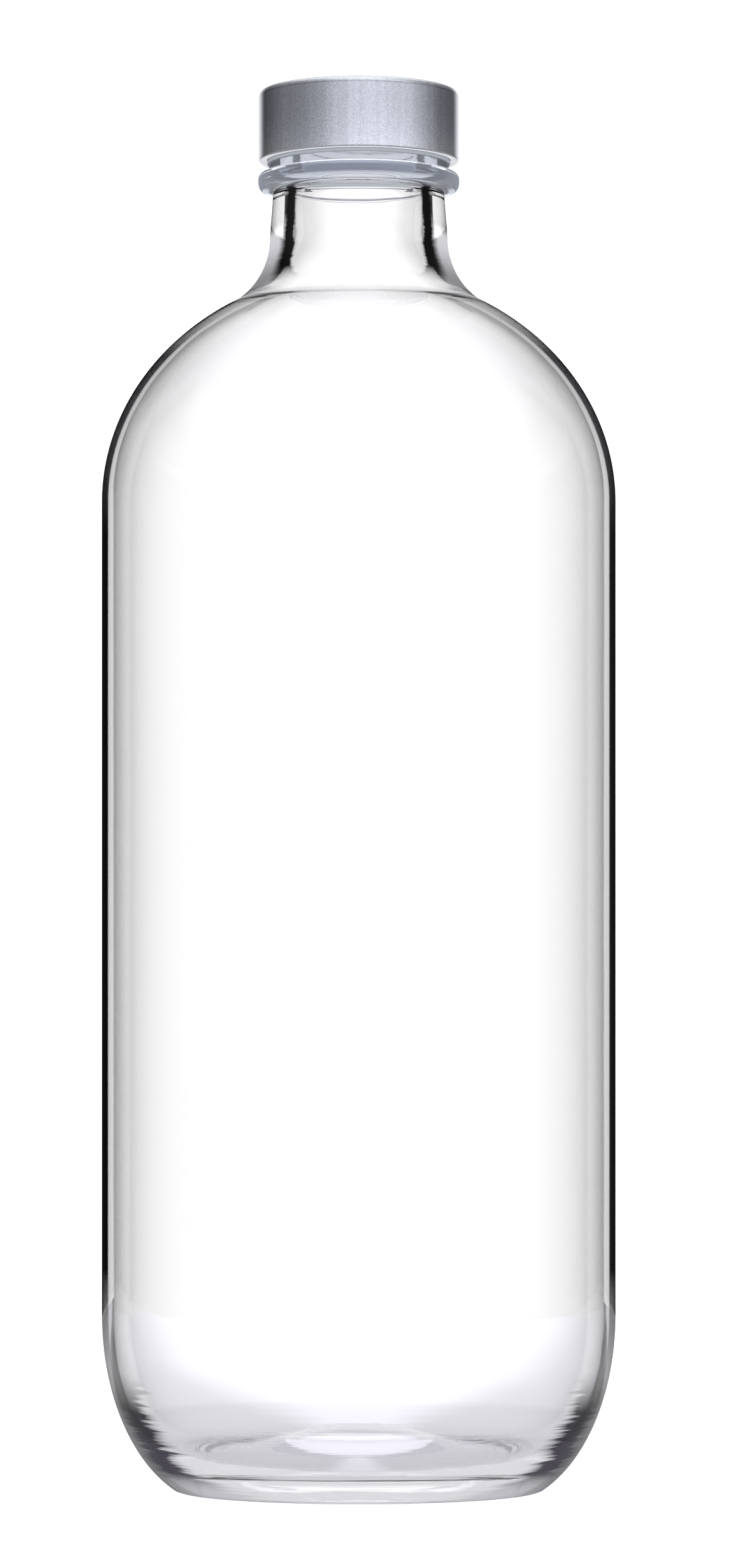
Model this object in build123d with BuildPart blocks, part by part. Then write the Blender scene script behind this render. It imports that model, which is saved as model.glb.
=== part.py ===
from build123d import *
from math import acos, cos, degrees, radians, sin, sqrt
import os

# Clear glass bottle with a screw cap. Millimetres, +Z up. The origin is the middle of the
# bearing surface, so the bottle stands on the XY plane and its axis is +Z.

# ---- bottle, outside ----
body_radius = 46.35
heel_height = 31.8  # where the straight body starts
heel_run = 20.8  # half-axis of the heel's elliptical curve towards the axis
heel_turn = 69.3  # degrees of that curve, from the straight body down to the bearing ring
body_length = 146.5  # straight part between heel and shoulder
shoulder_run = 48.1
shoulder_rise = 41.8
neck_edge_radius = 22.2  # where the shoulder's dome meets the flare of the neck
neck_flare_radius = 14.0
neck_low_radius = 16.05
neck_top_radius = 15.4
neck_length = 8.4  # from the top of the flare to the underside of the bead

# ---- transfer bead and threaded finish ----
bead_radius = 18.15
bead_height = 3.2
bead_round = 1.0
bead_bottom_rise = 1.5  # height of the bead's curved underside
finish_radius = 14.2
finish_height = 11.6  # from the top of the bead to the rim
rim_round = 0.9
thread_depth = 1.05
thread_pitch = 3.5
thread_root_width = 2.1
thread_crest_width = 0.9
thread_turns = 1.5
thread_below_rim = 2.25  # from the rim down to the middle of the thread's last turn

# ---- bottle, inside ----
body_wall = 2.0
shoulder_wall = 2.1
neck_bore_radius = 11.5
finish_bore_radius = 10.4
bore_step_height = 3.0  # the bore narrows over this height below the bead's middle
inner_flare_lead = 4.9  # the inside starts to flare this far above the outside
inner_corner_radius = 19.0  # where the inside of the flare meets the inside of the dome
inner_heel_run = 14.0  # half-axis of the inner heel's curve towards the axis
inner_heel_turn = 73.6  # degrees of that curve, down to the corner of the floor
floor_corner_height = 5.9
floor_bevel_run = 1.5  # narrow slope from that corner to the flat ring of the floor
floor_thickness = 5.4  # glass over the bearing plane at the flat ring
floor_dome_radius = 20.0
floor_dome_rise = 5.6  # rise of the inside of the base at the axis

# ---- underside ----
bearing_width = 3.1
push_up_step = 0.8  # height of the short conical wall inside the bearing ring
push_up_step_run = 1.0
push_up_rise = 4.6  # height of the push-up at the axis

# ---- cap ----
cap_gap = 2.2  # from the top of the bead to the silver shell's lower edge
shell_wall = 0.5
shell_round = 1.1
hem_height = 0.55  # the shell's lower edge turned inwards
hem_width = 0.85  # how far the hem reaches in from the shell's wall
insert_gap = 0.06  # between the plastic insert and the shell
insert_wall = 1.89
insert_lip_gap = 0.2  # radial, between the hem and the insert's lip
insert_lip_drop = 0.6  # the insert shows this much below the shell
insert_top = 1.3
insert_thread_turns = 1.15
insert_thread_root_width = 1.5
insert_thread_crest_width = 0.6
insert_thread_start = 0.5  # turn of the first point, as a share of a full turn
thread_clearance = 0.35  # radial, between the bottle's thread and the cap's
thread_bite = 0.3  # how far each ridge is sunk into its own wall
lip_chamfer = 0.35
liner_thickness = 1.35
liner_gap = 0.15  # liner to the insert's inner wall
seat_gap = 0.02  # liner to rim, and liner to the insert's ceiling

# ---- places worked out from the sizes above ----
body_top = heel_height + body_length
heel_drop = heel_height / sin(radians(heel_turn))
bearing_outer_radius = body_radius - heel_run + heel_run * cos(radians(heel_turn))
bearing_inner_radius = bearing_outer_radius - bearing_width
shoulder_centre_r = body_radius - shoulder_run
neck_edge_turn = acos((neck_edge_radius - shoulder_centre_r) / shoulder_run)
neck_edge_z = body_top + shoulder_rise * sin(neck_edge_turn)
flare_centre_r = neck_low_radius + neck_flare_radius
flare_side = flare_centre_r - neck_edge_radius
flare_top_z = neck_edge_z + sqrt(neck_flare_radius**2 - flare_side**2)
bead_bottom_z = flare_top_z + neck_length
bead_top_z = bead_bottom_z + bead_height
rim_z = bead_top_z + finish_height
shell_bottom_z = bead_top_z + cap_gap
liner_bottom_z = rim_z + seat_gap
liner_top_z = liner_bottom_z + liner_thickness
insert_ceiling_z = liner_top_z + seat_gap
insert_top_z = insert_ceiling_z + insert_top
shell_top_z = insert_top_z + insert_gap + shell_wall
insert_bore = finish_radius + thread_depth + thread_clearance
insert_radius = insert_bore + insert_wall
shell_inner = insert_radius + insert_gap
cap_radius = shell_inner + shell_wall
hem_inner_radius = shell_inner - hem_width
lip_radius = hem_inner_radius - insert_lip_gap
insert_bottom_z = shell_bottom_z - insert_lip_drop
thread_start_z = rim_z - thread_below_rim - thread_pitch * thread_turns


def thread_ridge(radius, depth, root_width, crest_width, turns, start_z):
    """A right-hand ridge that grows from a wall: outwards for a positive depth, inwards for a
    negative one."""
    side = -1 if depth < 0 else 1
    with BuildPart() as ridge:
        with BuildLine() as path:
            Helix(thread_pitch, thread_pitch * turns, radius, center=(0, 0, start_z))
        start = Plane(origin=path.line @ 0, x_dir=(side, 0, 0), z_dir=path.line % 0)
        with BuildSketch(start):
            with BuildLine():
                Polyline(
                    (-thread_bite, -root_width / 2),
                    (0, -root_width / 2),
                    (abs(depth), -crest_width / 2),
                    (abs(depth), crest_width / 2),
                    (0, root_width / 2),
                    (-thread_bite, root_width / 2),
                    close=True,
                )
            make_face()
        sweep(path=path.line, is_frenet=True)
    return ridge.part


# ================= bottle =================
inner_radius = body_radius - body_wall
inner_run = shoulder_run - body_wall
inner_rise = shoulder_rise - shoulder_wall
inner_turn = acos((inner_corner_radius - (inner_radius - inner_run)) / inner_run)
inner_corner_z = body_top + inner_rise * sin(inner_turn)
bore_step_z = bead_bottom_z + bead_height / 2
inner_flare_top_z = flare_top_z + inner_flare_lead
floor_dome_top = floor_thickness + floor_dome_rise
inner_heel_drop = (heel_height - floor_corner_height) / sin(radians(inner_heel_turn))
floor_corner_radius = (
    inner_radius - inner_heel_run + inner_heel_run * cos(radians(inner_heel_turn))
)
floor_radius = floor_corner_radius - floor_bevel_run
push_up_radius = bearing_inner_radius - push_up_step_run

with BuildPart() as bottle:
    with BuildSketch(Plane.XZ):
        with BuildLine():
            # underside, from the axis out to the bearing ring
            TangentArc((0, push_up_rise), (push_up_radius, push_up_step), tangent=(1, 0))
            Line((push_up_radius, push_up_step), (bearing_inner_radius, 0))
            Line((bearing_inner_radius, 0), (bearing_outer_radius, 0))
            # heel, body and shoulder
            EllipticalCenterArc(
                (body_radius - heel_run, heel_height),
                heel_run,
                heel_drop,
                start_angle=-heel_turn,
                arc_size=heel_turn,
            )
            Line((body_radius, heel_height), (body_radius, body_top))
            EllipticalCenterArc(
                (shoulder_centre_r, body_top),
                shoulder_run,
                shoulder_rise,
                start_angle=0,
                arc_size=degrees(neck_edge_turn),
            )
            # flare, neck, transfer bead and finish
            TangentArc(
                (neck_low_radius, flare_top_z),
                (neck_edge_radius, neck_edge_z),
                tangent=(0, -1),
            )
            Line((neck_low_radius, flare_top_z), (neck_top_radius, bead_bottom_z))
            TangentArc(
                (bead_radius, bead_bottom_z + bead_bottom_rise),
                (neck_top_radius, bead_bottom_z),
                tangent=(0, -1),
            )
            Line(
                (bead_radius, bead_bottom_z + bead_bottom_rise),
                (bead_radius, bead_top_z - bead_round),
            )
            TangentArc(
                (bead_radius, bead_top_z - bead_round),
                (bead_radius - bead_round, bead_top_z),
                tangent=(0, 1),
            )
            Line((bead_radius - bead_round, bead_top_z), (finish_radius, bead_top_z))
            Line((finish_radius, bead_top_z), (finish_radius, rim_z - rim_round))
            TangentArc(
                (finish_radius, rim_z - rim_round),
                (finish_radius - rim_round, rim_z),
                tangent=(0, 1),
            )
            Line((finish_radius - rim_round, rim_z), (finish_bore_radius + rim_round, rim_z))
            TangentArc(
                (finish_bore_radius + rim_round, rim_z),
                (finish_bore_radius, rim_z - rim_round),
                tangent=(-1, 0),
            )
            # bore, inside of the neck, flare, shoulder and body
            Line((finish_bore_radius, rim_z - rim_round), (finish_bore_radius, bore_step_z))
            Line(
                (finish_bore_radius, bore_step_z),
                (neck_bore_radius, bore_step_z - bore_step_height),
            )
            Line(
                (neck_bore_radius, bore_step_z - bore_step_height),
                (neck_bore_radius, inner_flare_top_z),
            )
            TangentArc(
                (neck_bore_radius, inner_flare_top_z),
                (inner_corner_radius, inner_corner_z),
                tangent=(0, -1),
            )
            EllipticalCenterArc(
                (inner_radius - inner_run, body_top),
                inner_run,
                inner_rise,
                start_angle=0,
                arc_size=degrees(inner_turn),
            )
            Line((inner_radius, body_top), (inner_radius, heel_height))
            # inside of the heel and the floor, which rises to a low dome in the middle
            EllipticalCenterArc(
                (inner_radius - inner_heel_run, heel_height),
                inner_heel_run,
                inner_heel_drop,
                start_angle=-inner_heel_turn,
                arc_size=inner_heel_turn,
            )
            Line((floor_corner_radius, floor_corner_height), (floor_radius, floor_thickness))
            Line((floor_radius, floor_thickness), (floor_dome_radius, floor_thickness))
            TangentArc(
                (0, floor_dome_top),
                (floor_dome_radius, floor_thickness),
                tangent=(1, 0),
            )
            Line((0, floor_dome_top), (0, push_up_rise))
        make_face()
    revolve(axis=Axis.Z)
    finish_thread = thread_ridge(
        finish_radius,
        thread_depth,
        thread_root_width,
        thread_crest_width,
        thread_turns,
        thread_start_z,
    )
    add(finish_thread)

# ================= cap: silver shell =================
with BuildPart() as cap_shell:
    with BuildSketch(Plane.XZ):
        with BuildLine():
            Line((0, shell_top_z), (cap_radius - shell_round, shell_top_z))
            TangentArc(
                (cap_radius - shell_round, shell_top_z),
                (cap_radius, shell_top_z - shell_round),
                tangent=(1, 0),
            )
            Line((cap_radius, shell_top_z - shell_round), (cap_radius, shell_bottom_z))
            Line((cap_radius, shell_bottom_z), (hem_inner_radius, shell_bottom_z))
            Line((hem_inner_radius, shell_bottom_z), (hem_inner_radius, shell_bottom_z + hem_height))
            Line(
                (hem_inner_radius, shell_bottom_z + hem_height),
                (shell_inner, shell_bottom_z + hem_height),
            )
            Line(
                (shell_inner, shell_bottom_z + hem_height),
                (shell_inner, shell_top_z - shell_round),
            )
            TangentArc(
                (shell_inner, shell_top_z - shell_round),
                (cap_radius - shell_round, shell_top_z - shell_wall),
                tangent=(0, 1),
            )
            Line((cap_radius - shell_round, shell_top_z - shell_wall), (0, shell_top_z - shell_wall))
            Line((0, shell_top_z - shell_wall), (0, shell_top_z))
        make_face()
    revolve(axis=Axis.Z)
    lowest_circles = cap_shell.edges().filter_by(GeomType.CIRCLE).group_by(Axis.Z)[0]
    fillet(lowest_circles.sort_by(SortBy.RADIUS)[-1], radius=hem_height / 2)

# ================= cap: threaded plastic insert =================
with BuildPart() as cap_insert:
    with BuildSketch(Plane.XZ):
        with BuildLine():
            insert_round = shell_round - shell_wall
            shelf_z = shell_bottom_z + hem_height + insert_gap
            Line((0, insert_top_z), (insert_radius - insert_round, insert_top_z))
            TangentArc(
                (insert_radius - insert_round, insert_top_z),
                (insert_radius, insert_top_z - insert_round),
                tangent=(1, 0),
            )
            Line((insert_radius, insert_top_z - insert_round), (insert_radius, shelf_z))
            Line((insert_radius, shelf_z), (lip_radius, shelf_z))
            Line((lip_radius, shelf_z), (lip_radius, insert_bottom_z))
            Line((lip_radius, insert_bottom_z), (insert_bore + lip_chamfer, insert_bottom_z))
            Line((insert_bore + lip_chamfer, insert_bottom_z), (insert_bore, insert_bottom_z + lip_chamfer))
            Line((insert_bore, insert_bottom_z + lip_chamfer), (insert_bore, insert_ceiling_z))
            Line((insert_bore, insert_ceiling_z), (0, insert_ceiling_z))
            Line((0, insert_ceiling_z), (0, insert_top_z))
        make_face()
    revolve(axis=Axis.Z)
    # The insert's ridge runs half a pitch below the bottle's, so the two never meet.
    insert_thread = thread_ridge(
        insert_bore,
        -thread_depth,
        insert_thread_root_width,
        insert_thread_crest_width,
        insert_thread_turns,
        thread_start_z + thread_pitch * (insert_thread_start - 0.5),
    )
    add(insert_thread, rotation=(0, 0, 360 * insert_thread_start))

# ================= cap: sealing liner =================
with BuildPart() as cap_liner:
    with BuildSketch(Plane.XY.offset(liner_bottom_z)):
        Circle(insert_bore - liner_gap)
    extrude(amount=liner_top_z - liner_bottom_z)

os.makedirs("parts", exist_ok=True)
for piece, name in (
    (bottle, "bottle"),
    (cap_shell, "cap_shell"),
    (cap_insert, "cap_insert"),
    (cap_liner, "cap_liner"),
):
    piece.part.label = name
    export_step(piece.part, f"parts/{name}.step")
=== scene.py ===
import bpy
import math
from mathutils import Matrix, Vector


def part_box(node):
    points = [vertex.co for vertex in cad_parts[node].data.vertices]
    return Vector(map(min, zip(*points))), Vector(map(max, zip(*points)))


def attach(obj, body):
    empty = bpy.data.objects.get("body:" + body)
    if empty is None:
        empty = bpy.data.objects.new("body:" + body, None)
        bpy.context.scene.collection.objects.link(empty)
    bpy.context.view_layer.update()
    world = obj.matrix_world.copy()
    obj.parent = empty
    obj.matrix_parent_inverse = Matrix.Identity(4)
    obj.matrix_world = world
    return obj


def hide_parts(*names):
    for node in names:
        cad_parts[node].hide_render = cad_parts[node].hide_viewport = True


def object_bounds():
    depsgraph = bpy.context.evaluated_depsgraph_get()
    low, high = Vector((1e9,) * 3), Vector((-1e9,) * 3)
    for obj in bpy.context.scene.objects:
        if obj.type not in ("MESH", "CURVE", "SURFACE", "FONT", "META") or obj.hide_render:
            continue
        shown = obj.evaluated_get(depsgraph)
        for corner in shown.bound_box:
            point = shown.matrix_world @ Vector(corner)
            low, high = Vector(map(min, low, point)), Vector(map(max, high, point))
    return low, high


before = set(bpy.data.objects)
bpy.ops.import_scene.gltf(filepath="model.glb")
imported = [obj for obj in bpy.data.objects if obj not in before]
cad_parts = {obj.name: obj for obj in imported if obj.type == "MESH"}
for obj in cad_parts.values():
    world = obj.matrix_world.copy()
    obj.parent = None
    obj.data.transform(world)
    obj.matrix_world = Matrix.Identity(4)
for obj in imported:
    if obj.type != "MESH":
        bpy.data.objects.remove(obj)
cadLow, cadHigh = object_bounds()
mm = 0.001

cameraSizes = {
    "distance": 1.015,  # from the bottle's axis
    "height": 0.0764,  # the lens looks level, so upright lines stay upright
    "lens": 129.0,
    "shiftRight": 0.0040,
    "shiftUp": 0.1807,
    "clipStart": 0.05,
}


def makeCamera(sizes):
    camera = bpy.data.objects.new("camera", bpy.data.cameras.new("camera"))
    bpy.context.collection.objects.link(camera)
    camera.location = (0, -sizes["distance"], sizes["height"])
    camera.rotation_euler = (math.radians(90), 0, 0)
    camera.data.lens = sizes["lens"]
    camera.data.shift_x = sizes["shiftRight"]
    camera.data.shift_y = sizes["shiftUp"]
    camera.data.clip_start = sizes["clipStart"]
    bpy.context.scene.camera = camera
    bpy.context.scene.view_settings.view_transform = "Standard"


class NodeMaker:
    # adds nodes to one tree and links values or sockets into them
    def __init__(self, tree):
        self.tree = tree
        self.column = 0

    def add(self, kind, **settings):
        node = self.tree.nodes.new(kind)
        self.column += 1
        node.location = (self.column * 180, -(self.column % 4) * 160)
        for name, value in settings.items():
            setattr(node, name, value)
        return node

    def feed(self, socket, value):
        if isinstance(value, bpy.types.NodeSocket):
            self.tree.links.new(value, socket)
        else:
            socket.default_value = value

    def math(self, operation, *values):
        node = self.add("ShaderNodeMath", operation=operation)
        for socket, value in zip(node.inputs, values):
            self.feed(socket, value)
        return node.outputs[0]

    def product(self, first, *others):
        for other in others:
            first = self.math("MULTIPLY", first, other)
        return first

    def ramp(self, value, low, high, start=0.0, end=1.0, smooth=True):
        node = self.add("ShaderNodeMapRange")
        node.interpolation_type = "SMOOTHSTEP" if smooth else "LINEAR"
        self.feed(node.inputs["Value"], value)
        self.feed(node.inputs["From Min"], low)
        self.feed(node.inputs["From Max"], high)
        self.feed(node.inputs["To Min"], start)
        self.feed(node.inputs["To Max"], end)
        return node.outputs["Result"]

    def mixColour(self, factor, first, second):
        node = self.add("ShaderNodeMix", data_type="RGBA")
        self.feed(node.inputs["Factor"], factor)
        self.feed(node.inputs[6], first)
        self.feed(node.inputs[7], second)
        return node.outputs[2]

    def mixValue(self, factor, first, second):
        node = self.add("ShaderNodeMix", data_type="FLOAT")
        self.feed(node.inputs[0], factor)
        self.feed(node.inputs[2], first)
        self.feed(node.inputs[3], second)
        return node.outputs[0]

    def parts(self, vector):
        node = self.add("ShaderNodeSeparateXYZ")
        self.feed(node.inputs[0], vector)
        return node.outputs

    def place(self):
        return self.add("ShaderNodeTexCoord").outputs["Object"]

    def facing(self):
        # 0 face on to the eye, 1 edge on
        node = self.add("ShaderNodeLayerWeight")
        node.inputs["Blend"].default_value = 0.5
        return node.outputs["Facing"]

    def noise(self, vector, scale, detail):
        node = self.add("ShaderNodeTexNoise")
        self.feed(node.inputs["Vector"], vector)
        self.feed(node.inputs["Scale"], scale)
        self.feed(node.inputs["Detail"], detail)
        return node.outputs[0]

    def stretched(self, vector, factors):
        node = self.add("ShaderNodeVectorMath", operation="MULTIPLY")
        self.feed(node.inputs[0], vector)
        self.feed(node.inputs[1], factors)
        return node.outputs[0]

    def bump(self, height, strength, distance):
        node = self.add("ShaderNodeBump")
        self.feed(node.inputs["Height"], height)
        self.feed(node.inputs["Strength"], strength)
        self.feed(node.inputs["Distance"], distance)
        return node.outputs[0]


# The surroundings differ by how a ray got there: seen straight or through the glass, mirrored by
# the outside of something, or turned round inside the glass.
lightSizes = {
    "backdrop": 1.25,  # bright enough to stay white through four faces of glass
    "sideBackdrop": 0.95,  # the backdrop through the glass, well to the side
    "sideFloor": 0.66,  # the same for the floor, as a share
    "sideLean": (0.05, 0.25),  # sideways lean over which both lose brightness
    "leastMirrored": 0.01,  # what the outside mirrors where nothing stands
    "keyTurn": 22.0,  # degrees to the right of straight ahead of the bottle
    "keySpread": (0.15, 1.0),  # spreads are cosines from the light's own direction
    "keyGlow": 1.0,
    "fillTurn": -65.0,
    "fillSpread": (0.3, 1.0),
    "fillGlow": 0.17,
    "wrapSpread": (-0.95, -0.2),  # what is left of the key light far round the sides
    "wrapGlow": 0.10,
    "topRise": (0.45, 0.8),
    "topLean": (0.35, 0.7),
    "topSideShare": 0.15,
    "aheadTurn": (0.815, 0.85),  # how nearly straight ahead turned light has to leave
    "tilt": (0.12, 0.35),  # or how steeply up or down
    "leastInside": 0.01,
    "skyShare": 0.42,
    "skyRise": (0.0, 0.1),
    "laterBounce": 0.5,  # share left after a second bounce inside the glass
    "laterTilted": 0.9,
    "floorSide": 0.7,
    "floorBase": (0.35, 0.35, 0.35, 1),
    "floorTint": (0.955, 0.945, 1.0, 1),
    "floorReach": (0.06, 0.35),  # through the glass the floor brightens over this distance
    "floorGlow": (0.92, 1.15),
    "floorSteep": (0.4, 0.6),  # steepness from which mirrored rays find the floor lit
    "floorInside": 0.62,
    "floorOutside": 0.22,
}


def towards(make, direction, turn):
    # how nearly a direction points at a light standing turn degrees to the right of the front
    aim = make.add("ShaderNodeVectorMath", operation="DOT_PRODUCT")
    make.feed(aim.inputs[0], direction)
    aim.inputs[1].default_value = (math.sin(math.radians(turn)), -math.cos(math.radians(turn)), 0)
    return aim.outputs["Value"]


def makeWorld(sizes):
    world = bpy.data.worlds.new("studio")
    bpy.context.scene.world = world
    world.use_nodes = True
    world.node_tree.nodes.clear()
    make = NodeMaker(world.node_tree)
    direction = make.add("ShaderNodeTexCoord").outputs["Generated"]
    sideways, along, up = make.parts(direction)
    lean = make.math("ABSOLUTE", sideways)
    path = make.add("ShaderNodeLightPath")
    mirrored = make.math("GREATER_THAN", path.outputs["Glossy Depth"], 0.5)
    mirroredAgain = make.math("GREATER_THAN", path.outputs["Glossy Depth"], 1.5)
    throughGlass = make.math("GREATER_THAN", path.outputs["Transmission Depth"], 0.5)

    key = towards(make, direction, sizes["keyTurn"])
    fill = towards(make, direction, sizes["fillTurn"])
    keyLight = make.ramp(key, *sizes["keySpread"], 0.0, sizes["keyGlow"])
    fillLight = make.ramp(fill, *sizes["fillSpread"], 0.0, sizes["fillGlow"])
    wrapLight = make.ramp(key, *sizes["wrapSpread"], 0.0, sizes["wrapGlow"])
    front = make.math("ADD", make.math("ADD", keyLight, fillLight), wrapLight)
    topSides = make.ramp(lean, *sizes["topLean"], 1.0, sizes["topSideShare"])
    top = make.product(make.ramp(up, *sizes["topRise"]), topSides)
    outside = make.math("MAXIMUM", make.math("MAXIMUM", front, top), sizes["leastMirrored"])

    ahead = make.ramp(along, *sizes["aheadTurn"])
    tilted = make.ramp(make.math("ABSOLUTE", up), *sizes["tilt"])
    skyward = make.product(tilted, make.ramp(up, *sizes["skyRise"], 1.0, sizes["skyShare"]))
    inside = make.math("MAXIMUM", make.math("MAXIMUM", ahead, skyward), sizes["leastInside"])
    later = make.mixValue(tilted, sizes["laterBounce"], sizes["laterTilted"])
    inside = make.product(inside, make.mixValue(mirroredAgain, 1.0, later))

    faded = make.ramp(lean, *sizes["sideLean"], sizes["backdrop"], sizes["sideBackdrop"])
    backdrop = make.mixValue(throughGlass, sizes["backdrop"], faded)
    reflected = make.mixValue(throughGlass, outside, inside)
    background = make.add("ShaderNodeBackground")
    background.inputs["Color"].default_value = (1, 1, 1, 1)
    make.feed(background.inputs["Strength"], make.mixValue(mirrored, backdrop, reflected))
    make.feed(make.add("ShaderNodeOutputWorld").inputs[0], background.outputs[0])


def makeFloor(height, sizes):
    mesh = bpy.data.meshes.new("floor")
    side = sizes["floorSide"]
    corners = [(-side, -side, height), (side, -side, height), (side, side, height), (-side, side, height)]
    mesh.from_pydata(corners, [], [(0, 1, 2, 3)])
    floor = bpy.data.objects.new("floor", mesh)
    bpy.context.collection.objects.link(floor)
    material = bpy.data.materials.new("paleFloor")
    material.use_nodes = True
    make = NodeMaker(material.node_tree)
    shader = material.node_tree.nodes["Principled BSDF"]
    shader.inputs["Base Color"].default_value = sizes["floorBase"]
    shader.inputs["Roughness"].default_value = 1.0
    shader.inputs["Specular IOR Level"].default_value = 0.0
    shader.inputs["Emission Color"].default_value = sizes["floorTint"]
    spots = make.place()
    length = make.add("ShaderNodeVectorMath", operation="LENGTH")
    make.feed(length.inputs[0], spots)
    reach = length.outputs["Value"]
    across = make.parts(spots)
    path = make.add("ShaderNodeLightPath")
    mirrored = make.math("GREATER_THAN", path.outputs["Glossy Depth"], 0.5)
    throughGlass = make.math("GREATER_THAN", path.outputs["Transmission Depth"], 0.5)

    lean = make.math("DIVIDE", make.math("ABSOLUTE", across[0]), reach)
    faded = make.ramp(lean, *sizes["sideLean"], 1.0, sizes["sideFloor"])
    through = make.product(make.ramp(reach, *sizes["floorReach"], *sizes["floorGlow"]), faded)
    ahead = make.ramp(make.math("DIVIDE", across[1], reach), *sizes["aheadTurn"])
    flatter, steeper = sizes["floorSteep"]
    steep = make.ramp(make.facing(), 1 - steeper, 1 - flatter, 1.0, 0.0)
    inside = make.product(make.math("MAXIMUM", ahead, steep), sizes["floorInside"])
    outside = make.product(steep, sizes["floorOutside"])
    outside = make.math("MAXIMUM", outside, sizes["leastMirrored"])
    reflected = make.mixValue(throughGlass, outside, inside)
    unseen = make.mixValue(mirrored, through, reflected)
    seen = make.mixValue(path.outputs["Is Camera Ray"], unseen, 1.0)
    make.feed(shader.inputs["Emission Strength"], seen)
    mesh.materials.append(material)


class Outline:
    # a list of points: radius, height, on the inner side or not, threaded or not
    def __init__(self):
        self.points = []

    def point(self, radius, height, inner=0.0, thread=0.0):
        if self.points:
            last = self.points[-1]
            if math.hypot(last[0] - radius, last[1] - height) < 1e-7:
                return
        self.points.append((radius, height, inner, thread))

    def line(self, radius, height, steps=1, inner=0.0, thread=0.0):
        startRadius, startHeight = self.points[-1][:2]
        for step in range(1, steps + 1):
            share = step / steps
            self.point(
                startRadius + (radius - startRadius) * share,
                startHeight + (height - startHeight) * share,
                inner,
                thread,
            )

    def arc(self, centre, halfAxes, start, end, steps, inner=0.0):
        # angles in degrees from the direction away from the axis
        for step in range(steps + 1):
            angle = math.radians(start + (end - start) * step / steps)
            self.point(
                centre[0] + halfAxes[0] * math.cos(angle),
                centre[1] + halfAxes[1] * math.sin(angle),
                inner,
            )

    def swing(self, radius, height, leave, steps, inner=0.0):
        # a circular arc to a point, leaving the last point in the direction leave
        startRadius, startHeight = self.points[-1][:2]
        acrossX, acrossZ = radius - startRadius, height - startHeight
        size = math.hypot(*leave)
        normalX, normalZ = -leave[1] / size, leave[0] / size
        toEnd = acrossX * normalX + acrossZ * normalZ
        bend = (acrossX**2 + acrossZ**2) / (2 * toEnd)
        centreX, centreZ = startRadius + normalX * bend, startHeight + normalZ * bend
        first = math.atan2(startHeight - centreZ, startRadius - centreX)
        last = math.atan2(height - centreZ, radius - centreX)
        turn = (last - first) % (2 * math.pi)
        if bend < 0:
            turn -= 2 * math.pi
        for step in range(1, steps + 1):
            angle = first + turn * step / steps
            self.point(
                centreX + abs(bend) * math.cos(angle), centreZ + abs(bend) * math.sin(angle), inner
            )


turningSizes = {
    "waveRise": 55.0,  # how fast the inner side's waves change up the piece
    "waveScale": 1.4,
    "waveDetail": 2.0,
    "axisReach": 0.01,  # the waves die out this near the axis
    "weldGap": 1e-6,
}


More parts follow.
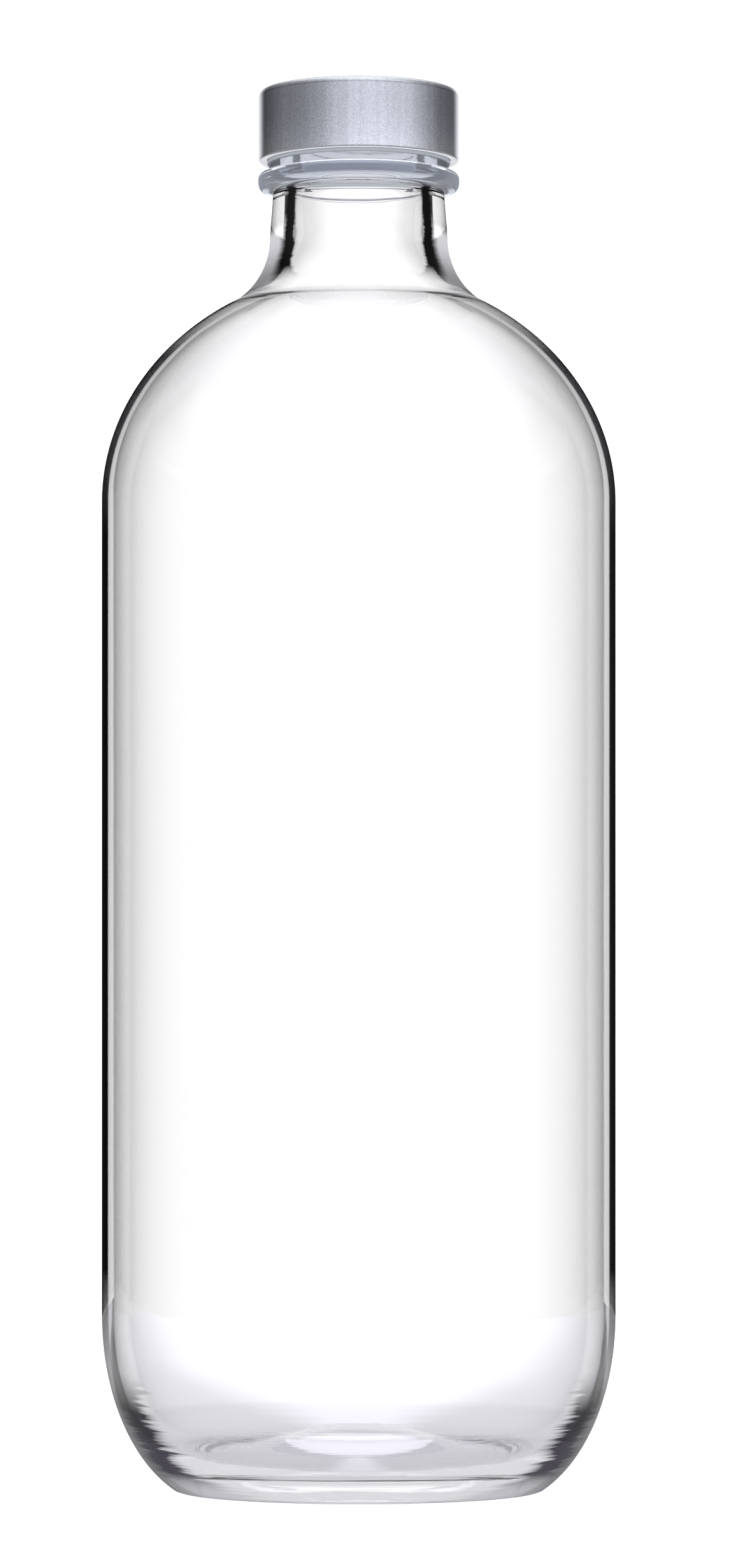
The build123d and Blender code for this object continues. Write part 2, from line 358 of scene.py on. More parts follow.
def makeTurningTree(sizes):
    # turns an outline round the axis, with a thread ridge and slow waves on the inner side
    tree = bpy.data.node_groups.new("turnedPiece", "GeometryNodeTree")
    face = tree.interface
    face.new_socket("Outline", in_out="INPUT", socket_type="NodeSocketGeometry")
    for name, kind, value in (
        ("Segments", "NodeSocketInt", 192),
        ("Thread Depth", "NodeSocketFloat", 0.0),
        ("Thread Pitch", "NodeSocketFloat", 0.0035),
        ("Thread Turns", "NodeSocketFloat", 1.5),
        ("Thread Start Height", "NodeSocketFloat", 0.0),
        ("Thread Start Turn", "NodeSocketFloat", 0.0),
        ("Root Width", "NodeSocketFloat", 0.002),
        ("Crest Width", "NodeSocketFloat", 0.001),
        ("Run Out", "NodeSocketFloat", 0.12),
        ("Wave Height", "NodeSocketFloat", 0.0),
        ("Material", "NodeSocketMaterial", None),
    ):
        socket = face.new_socket(name, in_out="INPUT", socket_type=kind)
        if value is not None:
            socket.default_value = value
    face.new_socket("Piece", in_out="OUTPUT", socket_type="NodeSocketGeometry")
    make = NodeMaker(tree)
    given = make.add("NodeGroupInput").outputs
    link = tree.links.new

    count = make.add("GeometryNodeAttributeDomainSize", component="MESH")
    link(given["Outline"], count.inputs[0])
    grid = make.add("GeometryNodeMeshGrid")
    link(make.math("ADD", given["Segments"], 1.0), grid.inputs["Vertices X"])
    link(count.outputs["Point Count"], grid.inputs["Vertices Y"])
    make.feed(grid.inputs["Size X"], 1.0)
    make.feed(grid.inputs["Size Y"], 1.0)
    place = make.parts(make.add("GeometryNodeInputPosition").outputs[0])
    turn = make.math("ADD", place[0], 0.5)
    rowShare = make.math("ADD", place[1], 0.5)
    lastRow = make.math("SUBTRACT", count.outputs["Point Count"], 1.0)
    row = make.math("ROUND", make.math("MULTIPLY", rowShare, lastRow))

    def sampled(kind, value):
        node = make.add("GeometryNodeSampleIndex", data_type=kind, domain="POINT")
        link(given["Outline"], node.inputs["Geometry"])
        link(value, node.inputs["Value"])
        link(row, node.inputs["Index"])
        return node.outputs["Value"]

    def named(name):
        node = make.add("GeometryNodeInputNamedAttribute", data_type="FLOAT")
        node.inputs["Name"].default_value = name
        return node.outputs["Attribute"]

    profile = sampled("FLOAT_VECTOR", make.add("GeometryNodeInputPosition").outputs[0])
    radius, _, height = make.parts(profile)
    threaded = sampled("FLOAT", named("threaded"))
    innerSide = sampled("FLOAT", named("innerSide"))

    # the nearest turn of the thread, and how far the point is from its middle
    fromStart = make.math("SUBTRACT", turn, given["Thread Start Turn"])
    localTurn = make.math("FRACT", fromStart)
    climbed = make.math("SUBTRACT", height, given["Thread Start Height"])
    climb = make.math("DIVIDE", climbed, given["Thread Pitch"])
    offTurn = make.math("SUBTRACT", climb, localTurn)
    whole = make.math("ROUND", offTurn)
    ridgeTurn = make.math("ADD", whole, localTurn)
    offMiddle = make.math("MULTIPLY", make.math("SUBTRACT", offTurn, whole), given["Thread Pitch"])
    fromMiddle = make.math("ABSOLUTE", offMiddle)
    rootHalf = make.math("MULTIPLY", given["Root Width"], 0.5)
    crestHalf = make.math("MULTIPLY", given["Crest Width"], 0.5)
    ridge = make.ramp(fromMiddle, rootHalf, crestHalf)
    startFade = make.ramp(ridgeTurn, 0.0, given["Run Out"])
    untilEnd = make.math("SUBTRACT", given["Thread Turns"], ridgeTurn)
    endFade = make.ramp(untilEnd, 0.0, given["Run Out"])
    fade = make.math("MULTIPLY", startFade, endFade)
    ridgeHeight = make.product(ridge, fade, given["Thread Depth"], threaded)

    angle = make.math("MULTIPLY", turn, 2 * math.pi)
    cosine, sine = make.math("COSINE", angle), make.math("SINE", angle)
    # slow waves, drawn out round the piece
    wavePlace = make.add("ShaderNodeCombineXYZ")
    make.feed(wavePlace.inputs[0], cosine)
    make.feed(wavePlace.inputs[1], sine)
    make.feed(wavePlace.inputs[2], make.product(height, sizes["waveRise"]))
    wave = make.noise(wavePlace.outputs[0], sizes["waveScale"], sizes["waveDetail"])
    swing = make.product(make.math("SUBTRACT", wave, 0.5), given["Wave Height"], innerSide)
    swing = make.product(swing, make.ramp(radius, 0.0, sizes["axisReach"]))
    fullRadius = make.math("ADD", make.math("ADD", radius, ridgeHeight), swing)
    spot = make.add("ShaderNodeCombineXYZ")
    make.feed(spot.inputs[0], make.math("MULTIPLY", fullRadius, cosine))
    make.feed(spot.inputs[1], make.math("MULTIPLY", fullRadius, sine))
    make.feed(spot.inputs[2], height)

    keep = make.add("GeometryNodeStoreNamedAttribute", data_type="FLOAT", domain="POINT")
    keep.inputs["Name"].default_value = "innerSide"
    link(grid.outputs["Mesh"], keep.inputs["Geometry"])
    link(innerSide, keep.inputs["Value"])
    move = make.add("GeometryNodeSetPosition")
    link(keep.outputs[0], move.inputs["Geometry"])
    link(spot.outputs[0], move.inputs["Position"])
    weld = make.add("GeometryNodeMergeByDistance")
    link(move.outputs[0], weld.inputs["Geometry"])
    make.feed(weld.inputs["Distance"], sizes["weldGap"])
    smooth = make.add("GeometryNodeSetShadeSmooth")
    link(weld.outputs[0], smooth.inputs["Geometry"])
    real = make.add("GeometryNodeRealizeInstances")
    link(smooth.outputs[0], real.inputs[0])
    paint = make.add("GeometryNodeSetMaterial")
    link(real.outputs[0], paint.inputs["Geometry"])
    link(given["Material"], paint.inputs["Material"])
    link(paint.outputs[0], make.add("NodeGroupOutput").inputs[0])
    return tree


def turnPiece(name, outline, tree, material, settings):
    # runs the tree on an outline and keeps the result as a plain closed mesh
    mesh = bpy.data.meshes.new(name + "Outline")
    spots = [(radius, 0, height) for radius, height, _, _ in outline.points]
    mesh.from_pydata(spots, [(i, i + 1) for i in range(len(spots) - 1)], [])
    for attribute, column in (("innerSide", 2), ("threaded", 3)):
        layer = mesh.attributes.new(attribute, "FLOAT", "POINT")
        layer.data.foreach_set("value", [point[column] for point in outline.points])
    piece = bpy.data.objects.new(name, mesh)
    bpy.context.collection.objects.link(piece)
    modifier = piece.modifiers.new("turning", "NODES")
    modifier.node_group = tree
    sockets = {s.name: s.identifier for s in tree.interface.items_tree if s.in_out == "INPUT"}
    for label, value in dict(settings, Material=material).items():
        modifier[sockets[label]] = value
    bpy.context.view_layer.update()
    evaluated = piece.evaluated_get(bpy.context.evaluated_depsgraph_get())
    solid = bpy.data.meshes.new_from_object(evaluated)
    piece.modifiers.remove(modifier)
    piece.data = solid
    solid.name = name
    if volumeOf(solid) < 0:
        solid.flip_normals()
    return piece


def volumeOf(mesh):
    total = 0.0
    mesh.calc_loop_triangles()
    spots = mesh.vertices
    for triangle in mesh.loop_triangles:
        a, b, c = (spots[i].co for i in triangle.vertices)
        total += a.dot(b.cross(c)) / 6
    return total


bottleSizes = {
    "heelHeight": 31.8 * mm,
    "heelRun": 20.8 * mm,
    "heelDrop": 34.0 * mm,
    "bodyLength": 146.5 * mm,
    "shoulderRun": 48.1 * mm,
    "shoulderRise": 41.8 * mm,
    "neckEdgeRadius": 22.2 * mm,
    "neckFlareRadius": 14.0 * mm,
    "neckLowRadius": 16.05 * mm,
    "neckTopRadius": 15.4 * mm,
    "neckLength": 8.4 * mm,
    "beadRadius": 18.15 * mm,
    "beadHeight": 3.2 * mm,
    "beadRound": 1.0 * mm,
    "beadBottomRise": 1.5 * mm,
    "finishRadius": 14.2 * mm,
    "finishFoot": 0.5 * mm,
    "rimRound": 0.9 * mm,
    "bodyWall": 2.0 * mm,
    "shoulderWall": 2.1 * mm,
    "neckBore": 11.5 * mm,
    "finishBore": 10.4 * mm,
    "boreStepHeight": 3.0 * mm,
    "boreStepRadius": 11.4746 * mm,  # where the lower half of the step ends
    "boreStepDrop": 2.8046 * mm,
    "innerFlareLead": 4.9 * mm,
    "innerCornerRadius": 20.5 * mm,
    "innerHeelRun": 14.0 * mm,
    "innerHeelDrop": 27.0 * mm,
    "floorCornerHeight": 5.9 * mm,
    "floorThickness": 5.4 * mm,
    "floorRadius": 32.8 * mm,
    "floorDomeRadius": 20.0 * mm,
    "floorDomeRise": 5.6 * mm,
    "floorDomeBlend": 0.15,
    "bearingInnerRadius": 29.8 * mm,
    "bearingRound": 0.35 * mm,
    "bearingSlope": 0.6,  # height of the rounding on the ring's inner edge, as a share of its width
    "heelStart": 0.985,  # share of the heel's turn that is left once the ring is rounded
    "pushUpStep": 0.8 * mm,
    "pushUpStepRun": 1.0 * mm,
    "pushUpRise": 4.6 * mm,
}
threadSizes = {
    "Thread Depth": 1.05 * mm,
    "Thread Pitch": 3.5 * mm,
    "Thread Turns": 1.5,
    "Thread Start Turn": 0.0,
    "Root Width": 2.1 * mm,
    "Crest Width": 0.9 * mm,
    "Run Out": 0.1,
}
threadAboveBead = 4.1 * mm
glassMesh = {"Segments": 200, "Wave Height": 0.08 * mm}


def bottleLevels(s):
    # the heights and radii that follow from the sizes and from the frame's own box
    low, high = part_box("bottle")
    levels = {"bodyRadius": high[0], "rim": high[2], "base": low[2]}
    levels["bodyTop"] = levels["base"] + s["heelHeight"] + s["bodyLength"]
    levels["shoulderCentre"] = levels["bodyRadius"] - s["shoulderRun"]
    edge = math.acos((s["neckEdgeRadius"] - levels["shoulderCentre"]) / s["shoulderRun"])
    levels["neckEdgeTurn"] = math.degrees(edge)
    levels["neckEdge"] = levels["bodyTop"] + s["shoulderRise"] * math.sin(edge)
    side = s["neckLowRadius"] + s["neckFlareRadius"] - s["neckEdgeRadius"]
    levels["flareTop"] = levels["neckEdge"] + math.sqrt(s["neckFlareRadius"] ** 2 - side**2)
    levels["beadBottom"] = levels["flareTop"] + s["neckLength"]
    levels["beadTop"] = levels["beadBottom"] + s["beadHeight"]
    return levels


def bottleOutline(s, at):
    base = at["base"]
    radius = at["bodyRadius"]
    out = Outline()
    # underside
    out.point(0, base + s["pushUpRise"])
    stepRadius = s["bearingInnerRadius"] - s["pushUpStepRun"]
    out.swing(stepRadius, base + s["pushUpStep"], (1, 0), 24)
    rounding = s["bearingRound"]
    out.line(s["bearingInnerRadius"] - rounding, base + rounding * s["bearingSlope"], 3)
    out.line(s["bearingInnerRadius"] + rounding, base, 2)
    heelTurn = math.degrees(math.asin(s["heelHeight"] / s["heelDrop"]))
    heelCentre = (radius - s["heelRun"], base + s["heelHeight"])
    outer = heelCentre[0] + s["heelRun"] * math.cos(math.radians(heelTurn))
    out.line(outer - rounding, base, 6)
    out.arc(heelCentre, (s["heelRun"], s["heelDrop"]), -heelTurn * s["heelStart"], 0, 48)
    # body and shoulder
    out.line(radius, at["bodyTop"], 10)
    out.arc(
        (at["shoulderCentre"], at["bodyTop"]),
        (s["shoulderRun"], s["shoulderRise"]),
        0,
        at["neckEdgeTurn"],
        48,
    )
    # flare, walked upwards
    flareRadius = s["neckFlareRadius"]
    flareCentre = (s["neckLowRadius"] + flareRadius, at["flareTop"])
    drop = math.degrees(math.asin((at["flareTop"] - at["neckEdge"]) / flareRadius))
    out.arc(flareCentre, (flareRadius, flareRadius), 180 + drop, 180, 26)
    out.line(s["neckTopRadius"], at["beadBottom"], 10)
    # transfer bead
    across = s["beadRadius"] - s["neckTopRadius"]
    rise = s["beadBottomRise"]
    bend = (across**2 + rise**2) / (2 * across)
    turned = math.degrees(math.asin(rise / bend))
    out.arc(
        (s["beadRadius"] - bend, at["beadBottom"] + rise), (bend, bend), -turned, 0, 12
    )
    roundBead = s["beadRound"]
    out.line(s["beadRadius"], at["beadTop"] - roundBead, 2)
    out.arc(
        (s["beadRadius"] - roundBead, at["beadTop"] - roundBead), (roundBead, roundBead), 0, 90, 9
    )
    foot = s["finishFoot"]
    out.line(s["finishRadius"] + foot, at["beadTop"], 3)
    out.arc((s["finishRadius"] + foot, at["beadTop"] + foot), (foot, foot), 270, 180, 6)
    # threaded finish and rim
    rimRound = s["rimRound"]
    out.line(s["finishRadius"], at["rim"] - rimRound, 64, thread=1.0)
    out.arc((s["finishRadius"] - rimRound, at["rim"] - rimRound), (rimRound, rimRound), 0, 90, 8)
    out.arc((s["finishBore"] + rimRound, at["rim"] - rimRound), (rimRound, rimRound), 90, 180, 8)
    # bore and inside of the neck, walked downwards
    stepTop = at["beadBottom"] + s["beadHeight"] / 2
    out.line(s["finishBore"], stepTop, 8, inner=1.0)
    middle = stepTop - s["boreStepHeight"] / 2
    halfBore = (s["finishBore"] + s["neckBore"]) / 2
    out.swing(halfBore, middle, (0, -1), 6, inner=1.0)
    out.line(s["boreStepRadius"], stepTop - s["boreStepDrop"], inner=1.0)
    out.line(s["neckBore"], at["flareTop"] + s["innerFlareLead"], 4, inner=1.0)
    innerRadius = radius - s["bodyWall"]
    innerRun = s["shoulderRun"] - s["bodyWall"]
    innerRise = s["shoulderRise"] - s["shoulderWall"]
    innerTurn = math.acos((s["innerCornerRadius"] - (innerRadius - innerRun)) / innerRun)
    out.swing(
        s["innerCornerRadius"], at["bodyTop"] + innerRise * math.sin(innerTurn), (0, -1), 24, inner=1.0
    )
    out.arc(
        (innerRadius - innerRun, at["bodyTop"]),
        (innerRun, innerRise),
        math.degrees(innerTurn),
        0,
        44,
        inner=1.0,
    )
    out.line(innerRadius, base + s["heelHeight"], 24, inner=1.0)
    depth = (s["heelHeight"] - s["floorCornerHeight"]) / s["innerHeelDrop"]
    out.arc(
        (innerRadius - s["innerHeelRun"], base + s["heelHeight"]),
        (s["innerHeelRun"], s["innerHeelDrop"]),
        0,
        -math.degrees(math.asin(depth)),
        44,
        inner=1.0,
    )
    valley = s["floorRadius"]
    out.line(valley, base + s["floorThickness"], 2, inner=1.0)
    steps, blend = 48, s["floorDomeBlend"]
    for step in range(1, steps + 1):
        reach = valley * (1 - step / steps)
        crown = 1 - (reach / s["floorDomeRadius"]) ** 2
        rise = s["floorDomeRise"] * (crown + math.hypot(crown, blend)) / 2
        out.point(reach, base + s["floorThickness"] + rise, 1.0)
    return out


# Heights are the bottle's own. Facing runs from 0, face on to the eye, to 1, edge on.
glassSizes = {
    "refraction": 1.52,
    "clear": (0.988, 0.987, 0.993, 1),
    "black": (0.0, 0.0, 0.0, 1),
    "leastLevel": 0.01,
    # painted shade: the black edge down the outside, fading at heel and shoulder
    "edgeFacing": (0.765, 0.79),
    "edgeHeel": (12 * mm, 40 * mm),
    "edgeHeelShare": 0.45,
    "edgeNeck": (215.5 * mm, 203 * mm),
    "edgeLevel": (0.40, 0.65),
    # streaks drawn out round the heel, and the painted shade of dark crescents they break up
    "streakStretch": (16.0, 16.0, 1900.0),
    "streakDetail": 3.0,
    "streakSwing": 0.30,
    "crescentFacing": (0.51, 0.61),
    "crescentFade": (1.0, 0.72),
    "crescentFadeShare": 0.7,
    "crescentTop": (23.5 * mm, 15 * mm),
    "crescentFoot": (1.0 * mm, 4.5 * mm),
    "crescentFootShare": 0.4,
    "crescentShadeColour": (0.004, 0.003, 0.006, 1),
    # painted shade: the dark stripe up each side of the neck; painted light: the glow of the glass
    # outside it
    "stripeHeight": (216.5 * mm, 219.5 * mm),
    "stripeDrift": (225.0 * mm, 217.5 * mm),
    "stripeDriftSize": 0.12,
    "stripeSwing": 0.05,
    "stripeInner": (0.315, 0.35),
    "stripeOuter": (0.50, 0.44),
    "flareFacing": (0.44, 0.58),
    "flareTop": (228.0 * mm, 225.5 * mm),
    "flareFoot": (215.0 * mm, 216.5 * mm),
    "flareGlowHeights": (217.0 * mm, 225.0 * mm),
    "flareGlow": (0.26, 0.66),
    # painted shade: the grey that gathers towards the sides of the shoulder
    "shadeAround": (0.15, 0.65),
    "shade": 0.42,
    "shadeFoot": (172 * mm, 200 * mm),
    "shadeTop": (219 * mm, 215 * mm),
    "shadeLevel": (0.30, 0.50),
    "shadeColour": (0.02, 0.02, 0.025, 1),
    # painted light: a glow on the crest under the neck, which meets the bright surroundings beyond it
    "crestLevel": (0.62, 0.50),
    "crestFacing": (0.72, 0.86),
    "crestHeight": (213.0 * mm, 214.5 * mm),
    "crestGlow": 0.5,
    # the thick floor
    "floorHeights": (13.5 * mm, 11.5 * mm),
    "floorShare": 0.85,
    "floorColour": (0.78, 0.77, 0.81, 1),
    "trappedBounces": 2.5,
    "trappedHeights": (30 * mm, 20 * mm),
    "trappedGlow": 0.26,
    "trappedTint": (0.96, 0.95, 1.0, 1),
    # the bead and the finish: painted light, a pale glow where light gathers in the thick glass, and a
    # band of painted shade
    "beadHeights": (233.8 * mm, 235.0 * mm),
    "beadGlow": 0.13,
    "beadEdgeGlow": 0.26,
    "beadTint": (0.80, 0.86, 1.0, 1),
    "bandFoot": (235.2 * mm, 235.8 * mm),
    "bandTop": (238.1 * mm, 237.8 * mm),
    "bandFacing": (0.55, 0.45),
    "bandShadeColour": (0.05, 0.06, 0.10, 1),
    "bumpHeights": (20 * mm, 10 * mm),
    "bumpStrength": 0.10,
    "bumpDistance": 0.2 * mm,
}


def makeGlass(s):
    material = bpy.data.materials.new("clearGlass")
    material.use_nodes = True
    material.node_tree.nodes.clear()
    make = NodeMaker(material.node_tree)
    shader = make.add("ShaderNodeBsdfPrincipled")
    shader.inputs["Transmission Weight"].default_value = 1.0
    shader.inputs["Roughness"].default_value = 0.0
    shader.inputs["IOR"].default_value = s["refraction"]
    facing = make.facing()
    spots = make.place()
    up = make.parts(spots)[2]
    inner = make.add("ShaderNodeAttribute", attribute_name="innerSide").outputs["Fac"]
    outer = make.math("SUBTRACT", 1.0, inner)
    path = make.add("ShaderNodeLightPath")
    first = make.product(path.outputs["Is Camera Ray"], outer)
    # level is 1 on an upright wall and falls as the glass leans; around is the facing of an
    # upright wall at the same place round the bottle
    slope = make.parts(make.add("ShaderNodeTexCoord").outputs["Normal"])[2]
    level = make.math("SUBTRACT", 1.0, make.product(slope, slope))
    level = make.math("SQRT", make.math("MAXIMUM", level, s["leastLevel"]))
    around = make.math("DIVIDE", make.math("SUBTRACT", 1.0, facing), level)
    around = make.math("SUBTRACT", 1.0, around)
    streak = make.noise(make.stretched(spots, s["streakStretch"]), 1.0, s["streakDetail"])
    unevenness = make.math("SUBTRACT", streak, 0.5)

    # painted shade: the glass turns black towards its edges
    edge = make.product(
        make.ramp(facing, *s["edgeFacing"]),
        make.ramp(up, *s["edgeHeel"], s["edgeHeelShare"], 1.0),
        make.ramp(up, *s["edgeNeck"]),
        make.ramp(level, *s["edgeLevel"]),
        outer,
    )
    turned = make.math("ADD", facing, make.product(unevenness, s["streakSwing"]))
    # painted shade: dark crescents low in the heel, broken up by the streaks
    crescent = make.product(
        make.ramp(turned, *s["crescentFacing"]),
        make.ramp(turned, *s["crescentFade"], s["crescentFadeShare"], 1.0),
        make.ramp(up, *s["crescentTop"]),
        make.ramp(up, *s["crescentFoot"], s["crescentFootShare"], 1.0),
        first,
    )
    # painted shade: a black stripe up each side of the neck
    drift = make.ramp(up, *s["stripeDrift"], 0.0, s["stripeDriftSize"])
    across = make.math("SUBTRACT", facing, drift)
    across = make.math("ADD", across, make.product(unevenness, s["stripeSwing"]))
    stripe = make.product(
        make.ramp(across, *s["stripeInner"]),
        make.ramp(across, *s["stripeOuter"]),
        make.ramp(up, *s["stripeHeight"]),
        first,
    )
    # painted shade greying the sides of the shoulder
    shade = make.product(
        make.ramp(around, *s["shadeAround"], 0.0, s["shade"]),
        make.ramp(up, *s["shadeFoot"]),
        make.ramp(up, *s["shadeTop"]),
        make.ramp(level, *s["shadeLevel"]),
        first,
    )
    thick = make.product(inner, make.ramp(up, *s["floorHeights"], 0.0, s["floorShare"]))
    # painted shade: a dark band across the bead's upper part
    band = make.product(
        make.ramp(up, *s["bandFoot"]),
        make.ramp(up, *s["bandTop"]),
        make.ramp(facing, *s["bandFacing"]),
        first,
    )
    colour = make.mixColour(edge, s["clear"], s["black"])
    colour = make.mixColour(crescent, colour, s["crescentShadeColour"])
    colour = make.mixColour(stripe, colour, s["black"])
    colour = make.mixColour(thick, colour, s["floorColour"])
    colour = make.mixColour(shade, colour, s["shadeColour"])
    colour = make.mixColour(band, colour, s["bandShadeColour"])
    make.feed(shader.inputs["Base Color"], colour)

    # painted light: light that has bounced many times inside the thick base comes out as a pale glow,
    # never lost
    bouncedOften = make.math("GREATER_THAN", path.outputs["Glossy Depth"], s["trappedBounces"])
    trapped = make.product(bouncedOften, make.ramp(up, *s["trappedHeights"]), s["trappedGlow"])
    # painted light: the bead glows pale, more so towards its edges
    bead = make.product(make.ramp(up, *s["beadHeights"]), outer)
    beadPaintedGlow = make.math("ADD", make.product(facing, s["beadEdgeGlow"]), s["beadGlow"])
    beadPaintedGlow = make.product(bead, beadPaintedGlow, path.outputs["Is Camera Ray"])
    # painted light: the glass just outside the neck's stripe glows
    flare = make.product(
        make.ramp(across, *s["flareFacing"]),
        make.ramp(up, *s["flareTop"]),
        make.ramp(up, *s["flareFoot"]),
        make.ramp(up, *s["flareGlowHeights"], *s["flareGlow"]),
        first,
    )
    # painted light: the crest under the neck glows
    crest = make.product(
        make.ramp(level, *s["crestLevel"]),
        make.ramp(facing, *s["crestFacing"]),
        make.ramp(up, *s["crestHeight"]),
        first,
        s["crestGlow"],
    )
    glow = make.math("ADD", trapped, beadPaintedGlow)
    glow = make.math("ADD", make.math("ADD", glow, flare), crest)
    make.feed(shader.inputs["Emission Strength"], glow)
    tint = make.mixColour(bead, s["trappedTint"], s["beadTint"])
    make.feed(shader.inputs["Emission Color"], tint)
    roughness = make.product(make.ramp(up, *s["bumpHeights"], 0.0, s["bumpStrength"]), outer)
    make.feed(shader.inputs["Normal"], make.bump(streak, roughness, s["bumpDistance"]))
    make.feed(make.add("ShaderNodeOutputMaterial").inputs[0], shader.outputs[0])
    return material


capSizes = {
    "shellWall": 0.5 * mm,
    "shellRound": 1.1 * mm,
    "hemHeight": 0.55 * mm,
    "hemInner": 16.7 * mm,
    "edgeRound": 0.12 * mm,
    "lip": 16.5 * mm,
    "lipRound": 0.15 * mm,
    "insertBore": 15.6 * mm,
    "insertTop": 1.3 * mm,
    "shelfRise": 0.61 * mm,  # the top of the lip, above the shell's lower edge
    "linerRound": 0.2 * mm,
}


def shellOutline(s):
    low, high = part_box("cap_shell")
    radius, bottom, top = high[0], low[2], high[2]
    wall, rounding = s["shellWall"], s["shellRound"]
    out = Outline()
    out.point(0, top)
    out.line(radius - rounding, top, 12)
    out.arc((radius - rounding, top - rounding), (rounding, rounding), 90, 0, 12)
    hem = s["hemHeight"] / 2
    out.line(radius, bottom + hem, 12)
    out.arc((radius - hem, bottom + hem), (hem, hem), 0, -90, 8)
    soft = s["edgeRound"]
    out.line(s["hemInner"] + soft, bottom, 3)
    out.arc((s["hemInner"] + soft, bottom + soft), (soft, soft), 270, 180, 4)
    out.line(s["hemInner"], bottom + s["hemHeight"], 2)
    out.line(radius - wall, bottom + s["hemHeight"], 2)
    out.line(radius - wall, top - rounding, 6)
    inside = rounding - wall
    out.arc((radius - rounding, top - rounding), (inside, inside), 0, 90, 6)
    out.line(0, top - wall, 6)
    return out


def insertOutline(s):
    low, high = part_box("cap_insert")
    radius, bottom, top = high[0], low[2], high[2]
    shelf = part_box("cap_shell")[0][2] + s["shelfRise"]
    rounding = s["shellRound"] - s["shellWall"]
    soft = s["lipRound"]
    out = Outline()
    out.point(0, top)
    out.line(radius - rounding, top, 8)
    out.arc((radius - rounding, top - rounding), (rounding, rounding), 90, 0, 5)
    out.line(radius, shelf, 4)
    out.line(s["lip"], shelf, 2)
    out.line(s["lip"], bottom + soft, 2)
    out.arc((s["lip"] - soft, bottom + soft), (soft, soft), 0, -90, 4)
    out.line(s["insertBore"] + soft * 2, bottom, 2)
    out.line(s["insertBore"], bottom + soft * 2, 2)
    out.line(s["insertBore"], top - s["insertTop"], 60, thread=1.0)
    out.line(0, top - s["insertTop"], 10)
    return out


def linerOutline(s):
    low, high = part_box("cap_liner")
    radius, soft = high[0], s["linerRound"]
    out = Outline()
    out.point(0, high[2])
    out.line(radius - soft, high[2], 8)
    out.arc((radius - soft, high[2] - soft), (soft, soft), 90, 0, 4)
    out.line(radius, low[2] + soft, 2)
    out.arc((radius - soft, low[2] + soft), (soft, soft), 0, -90, 4)
    out.line(0, low[2], 8)
    return out


satinSizes = {
    "grainScale": 9000.0,
    "grainDetail": 3.0,
    "grainUpward": 0.45,  # below 1 the grain is drawn out up the skirt
    "grainSpan": (0.25, 0.75),
    "grainTone": (0.46, 0.82),
    "brightStart": 3.0 * mm,  # below the top; from here the skirt brightens to its lower edge, a painted light from below
    "brightGain": 0.22,
    "brightEdgeGain": 0.9,
    "brushStretch": (1100.0, 1100.0, 25.0),
    "brushDetail": 2.0,
    "brushSpan": (0.3, 0.7),
    "brushTone": (0.94, 1.06),
    # painted highlight on the rounded top edge; painted shade on the flat top and in a thin line below
    # the edge
    "rimDepths": (0.95 * mm, 0.8 * mm),  # depths are below the cap's top
    "rimTone": 1.5,
    "topDepths": (0.10 * mm, 0.02 * mm),
    "topTone": 0.5,
    "lineDepth": 1.08 * mm,
    "lineHalf": 0.18 * mm,
    "lineTone": 0.72,
    "tint": (0.90, 0.93, 1.06),
    "roughSpan": (0.3, 0.7),
    "roughness": (0.30, 0.42),
    # painted light: the skirt glows pale where it is seen edge on
    "sheenTint": (0.93, 0.95, 1.0, 1),
    "sheenFacing": (0.66, 0.88),
    "sheen": 0.66,
    "sheenDepths": (0.3 * mm, 0.9 * mm),
    "bumpStrength": 0.25,
    "bumpDistance": 0.1 * mm,
}
plainSizes = {
    "grainScale": 900.0,
    "grainDetail": 2.0,
    "grainDarkening": 0.93,
    "litTint": (0.90, 0.92, 1.0, 1),
    "litThroughGlass": 0.36,
}


def makeGrainGroup():
    # fine grain that the metal and the plastics share
    group = bpy.data.node_groups.new("fineGrain", "ShaderNodeTree")
    for name, value in (("Scale", 900.0), ("Detail", 2.0), ("Upward", 1.0)):
        socket = group.interface.new_socket(name, in_out="INPUT", socket_type="NodeSocketFloat")
        socket.default_value = value
    group.interface.new_socket("Grain", in_out="OUTPUT", socket_type="NodeSocketFloat")
    make = NodeMaker(group)
    given = make.add("NodeGroupInput").outputs
    stretch = make.add("ShaderNodeCombineXYZ")
    make.feed(stretch.inputs[0], 1.0)
    make.feed(stretch.inputs[1], 1.0)
    make.feed(stretch.inputs[2], given["Upward"])
    spots = make.stretched(make.place(), stretch.outputs[0])
    grain = make.noise(spots, given["Scale"], given["Detail"])
    make.feed(make.add("NodeGroupOutput").inputs["Grain"], grain)
    return group


def addGrain(make, group, scale, detail, upward=1.0):
    node = make.add("ShaderNodeGroup", node_tree=group)
    for name, value in (("Scale", scale), ("Detail", detail), ("Upward", upward)):
        make.feed(node.inputs[name], value)
    return node.outputs["Grain"]


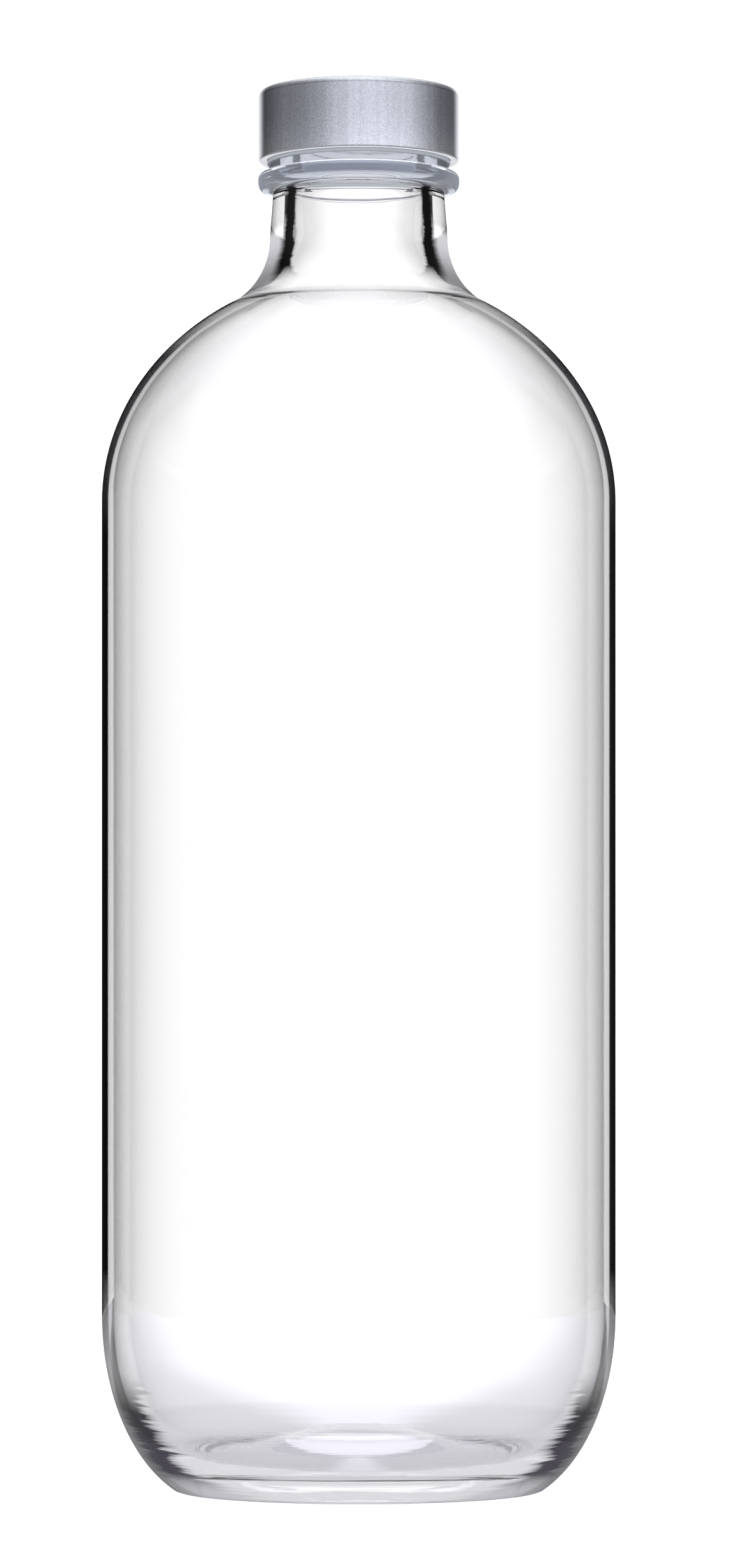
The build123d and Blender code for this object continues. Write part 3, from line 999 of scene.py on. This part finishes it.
def makeSatin(s, grainGroup):
    material = bpy.data.materials.new("satinMetal")
    material.use_nodes = True
    make = NodeMaker(material.node_tree)
    shader = material.node_tree.nodes["Principled BSDF"]
    shader.inputs["Metallic"].default_value = 1.0
    spots = make.place()
    height = make.parts(spots)[2]
    facing = make.facing()
    low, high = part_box("cap_shell")
    bottom, top = low[2], high[2]
    grain = addGrain(make, grainGroup, s["grainScale"], s["grainDetail"], s["grainUpward"])
    brush = make.noise(make.stretched(spots, s["brushStretch"]), 1.0, s["brushDetail"])

    def fromTop(depths, start=0.0, end=1.0):
        return make.ramp(height, top - depths[0], top - depths[1], start, end)

    # painted light: the skirt brightens towards its lower edge, more where it is seen edge on
    drop = make.ramp(height, top - s["brightStart"], bottom, 0.0, 1.0, smooth=False)
    gain = make.math("ADD", make.product(facing, s["brightEdgeGain"]), s["brightGain"])
    bright = make.math("ADD", make.product(drop, drop, gain), 1.0)
    fromLine = make.math("ABSOLUTE", make.math("SUBTRACT", height, top - s["lineDepth"]))
    # the grain and the brushing are the metal's own; the rim is a painted highlight, the top and the thin
    # line below the rim are painted shade
    tone = make.product(
        bright,
        make.ramp(grain, *s["grainSpan"], *s["grainTone"]),
        make.ramp(brush, *s["brushSpan"], *s["brushTone"]),
        make.mixValue(fromTop(s["rimDepths"]), 1.0, s["rimTone"]),
        fromTop(s["topDepths"], 1.0, s["topTone"]),
        make.ramp(fromLine, 0.0, s["lineHalf"], s["lineTone"], 1.0),
    )
    tint = make.add("ShaderNodeVectorMath", operation="SCALE")
    tint.inputs[0].default_value = s["tint"]
    make.feed(tint.inputs["Scale"], tone)
    make.feed(shader.inputs["Base Color"], tint.outputs[0])
    make.feed(shader.inputs["Roughness"], make.ramp(grain, *s["roughSpan"], *s["roughness"]))
    # painted light: a pale sheen glowing where the skirt is seen edge on
    sheen = make.ramp(facing, *s["sheenFacing"], 0.0, s["sheen"])
    make.feed(shader.inputs["Emission Strength"], make.product(sheen, fromTop(s["sheenDepths"])))
    shader.inputs["Emission Color"].default_value = s["sheenTint"]
    make.feed(shader.inputs["Normal"], make.bump(grain, s["bumpStrength"], s["bumpDistance"]))
    return material


def makePlain(name, colour, roughness, s, grainGroup):
    material = bpy.data.materials.new(name)
    material.use_nodes = True
    make = NodeMaker(material.node_tree)
    shader = material.node_tree.nodes["Principled BSDF"]
    shader.inputs["Roughness"].default_value = roughness
    grain = addGrain(make, grainGroup, s["grainScale"], s["grainDetail"])
    darker = tuple(part * s["grainDarkening"] for part in colour) + (1,)
    make.feed(shader.inputs["Base Color"], make.mixColour(grain, darker, colour + (1,)))
    # painted light: seen through the glass, the cap's inside glows pale, standing in for light trapped in
    # the finish
    path = make.add("ShaderNodeLightPath")
    behind = make.math("GREATER_THAN", path.outputs["Transmission Depth"], 0.5)
    shader.inputs["Emission Color"].default_value = s["litTint"]
    make.feed(shader.inputs["Emission Strength"], make.product(behind, s["litThroughGlass"]))
    return material


shellMesh = {"Segments": 160}
insertMesh = {
    "Segments": 160,
    "Thread Depth": -threadSizes["Thread Depth"],  # inwards
    "Thread Turns": 1.15,
    "Thread Start Turn": 0.5,
    "Root Width": 1.5 * mm,
    "Crest Width": 0.6 * mm,
}
insertColour, insertRoughness = (0.52, 0.56, 0.61), 0.4
linerMesh = {"Segments": 128}
linerColour, linerRoughness = (0.85, 0.85, 0.82), 0.6

makeCamera(cameraSizes)
makeWorld(lightSizes)
makeFloor(cadLow[2], lightSizes)
print("stage: camera, light and floor")

turningTree = makeTurningTree(turningSizes)
grainGroup = makeGrainGroup()
levels = bottleLevels(bottleSizes)
thread = dict(threadSizes, **{"Thread Start Height": levels["beadTop"] + threadAboveBead})
glass = turnPiece(
    "glassBottle",
    bottleOutline(bottleSizes, levels),
    turningTree,
    makeGlass(glassSizes),
    dict(thread, **glassMesh),
)
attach(glass, "bottle")
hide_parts("bottle")
print("bottle:", len(glass.data.polygons), "faces,", round(volumeOf(glass.data) * 1e6), "ml of glass")

satin = makeSatin(satinSizes, grainGroup)
shell = turnPiece("capShell", shellOutline(capSizes), turningTree, satin, shellMesh)
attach(shell, "cap")
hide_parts("cap_shell")

plastic = makePlain("greyPlastic", insertColour, insertRoughness, plainSizes, grainGroup)
insert = turnPiece(
    "capInsert", insertOutline(capSizes), turningTree, plastic, dict(thread, **insertMesh)
)
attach(insert, "cap")
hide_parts("cap_insert")

foam = makePlain("linerFoam", linerColour, linerRoughness, plainSizes, grainGroup)
liner = turnPiece("capLiner", linerOutline(capSizes), turningTree, foam, linerMesh)
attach(liner, "liner")
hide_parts("cap_liner")
print("cap: shell, insert and liner")
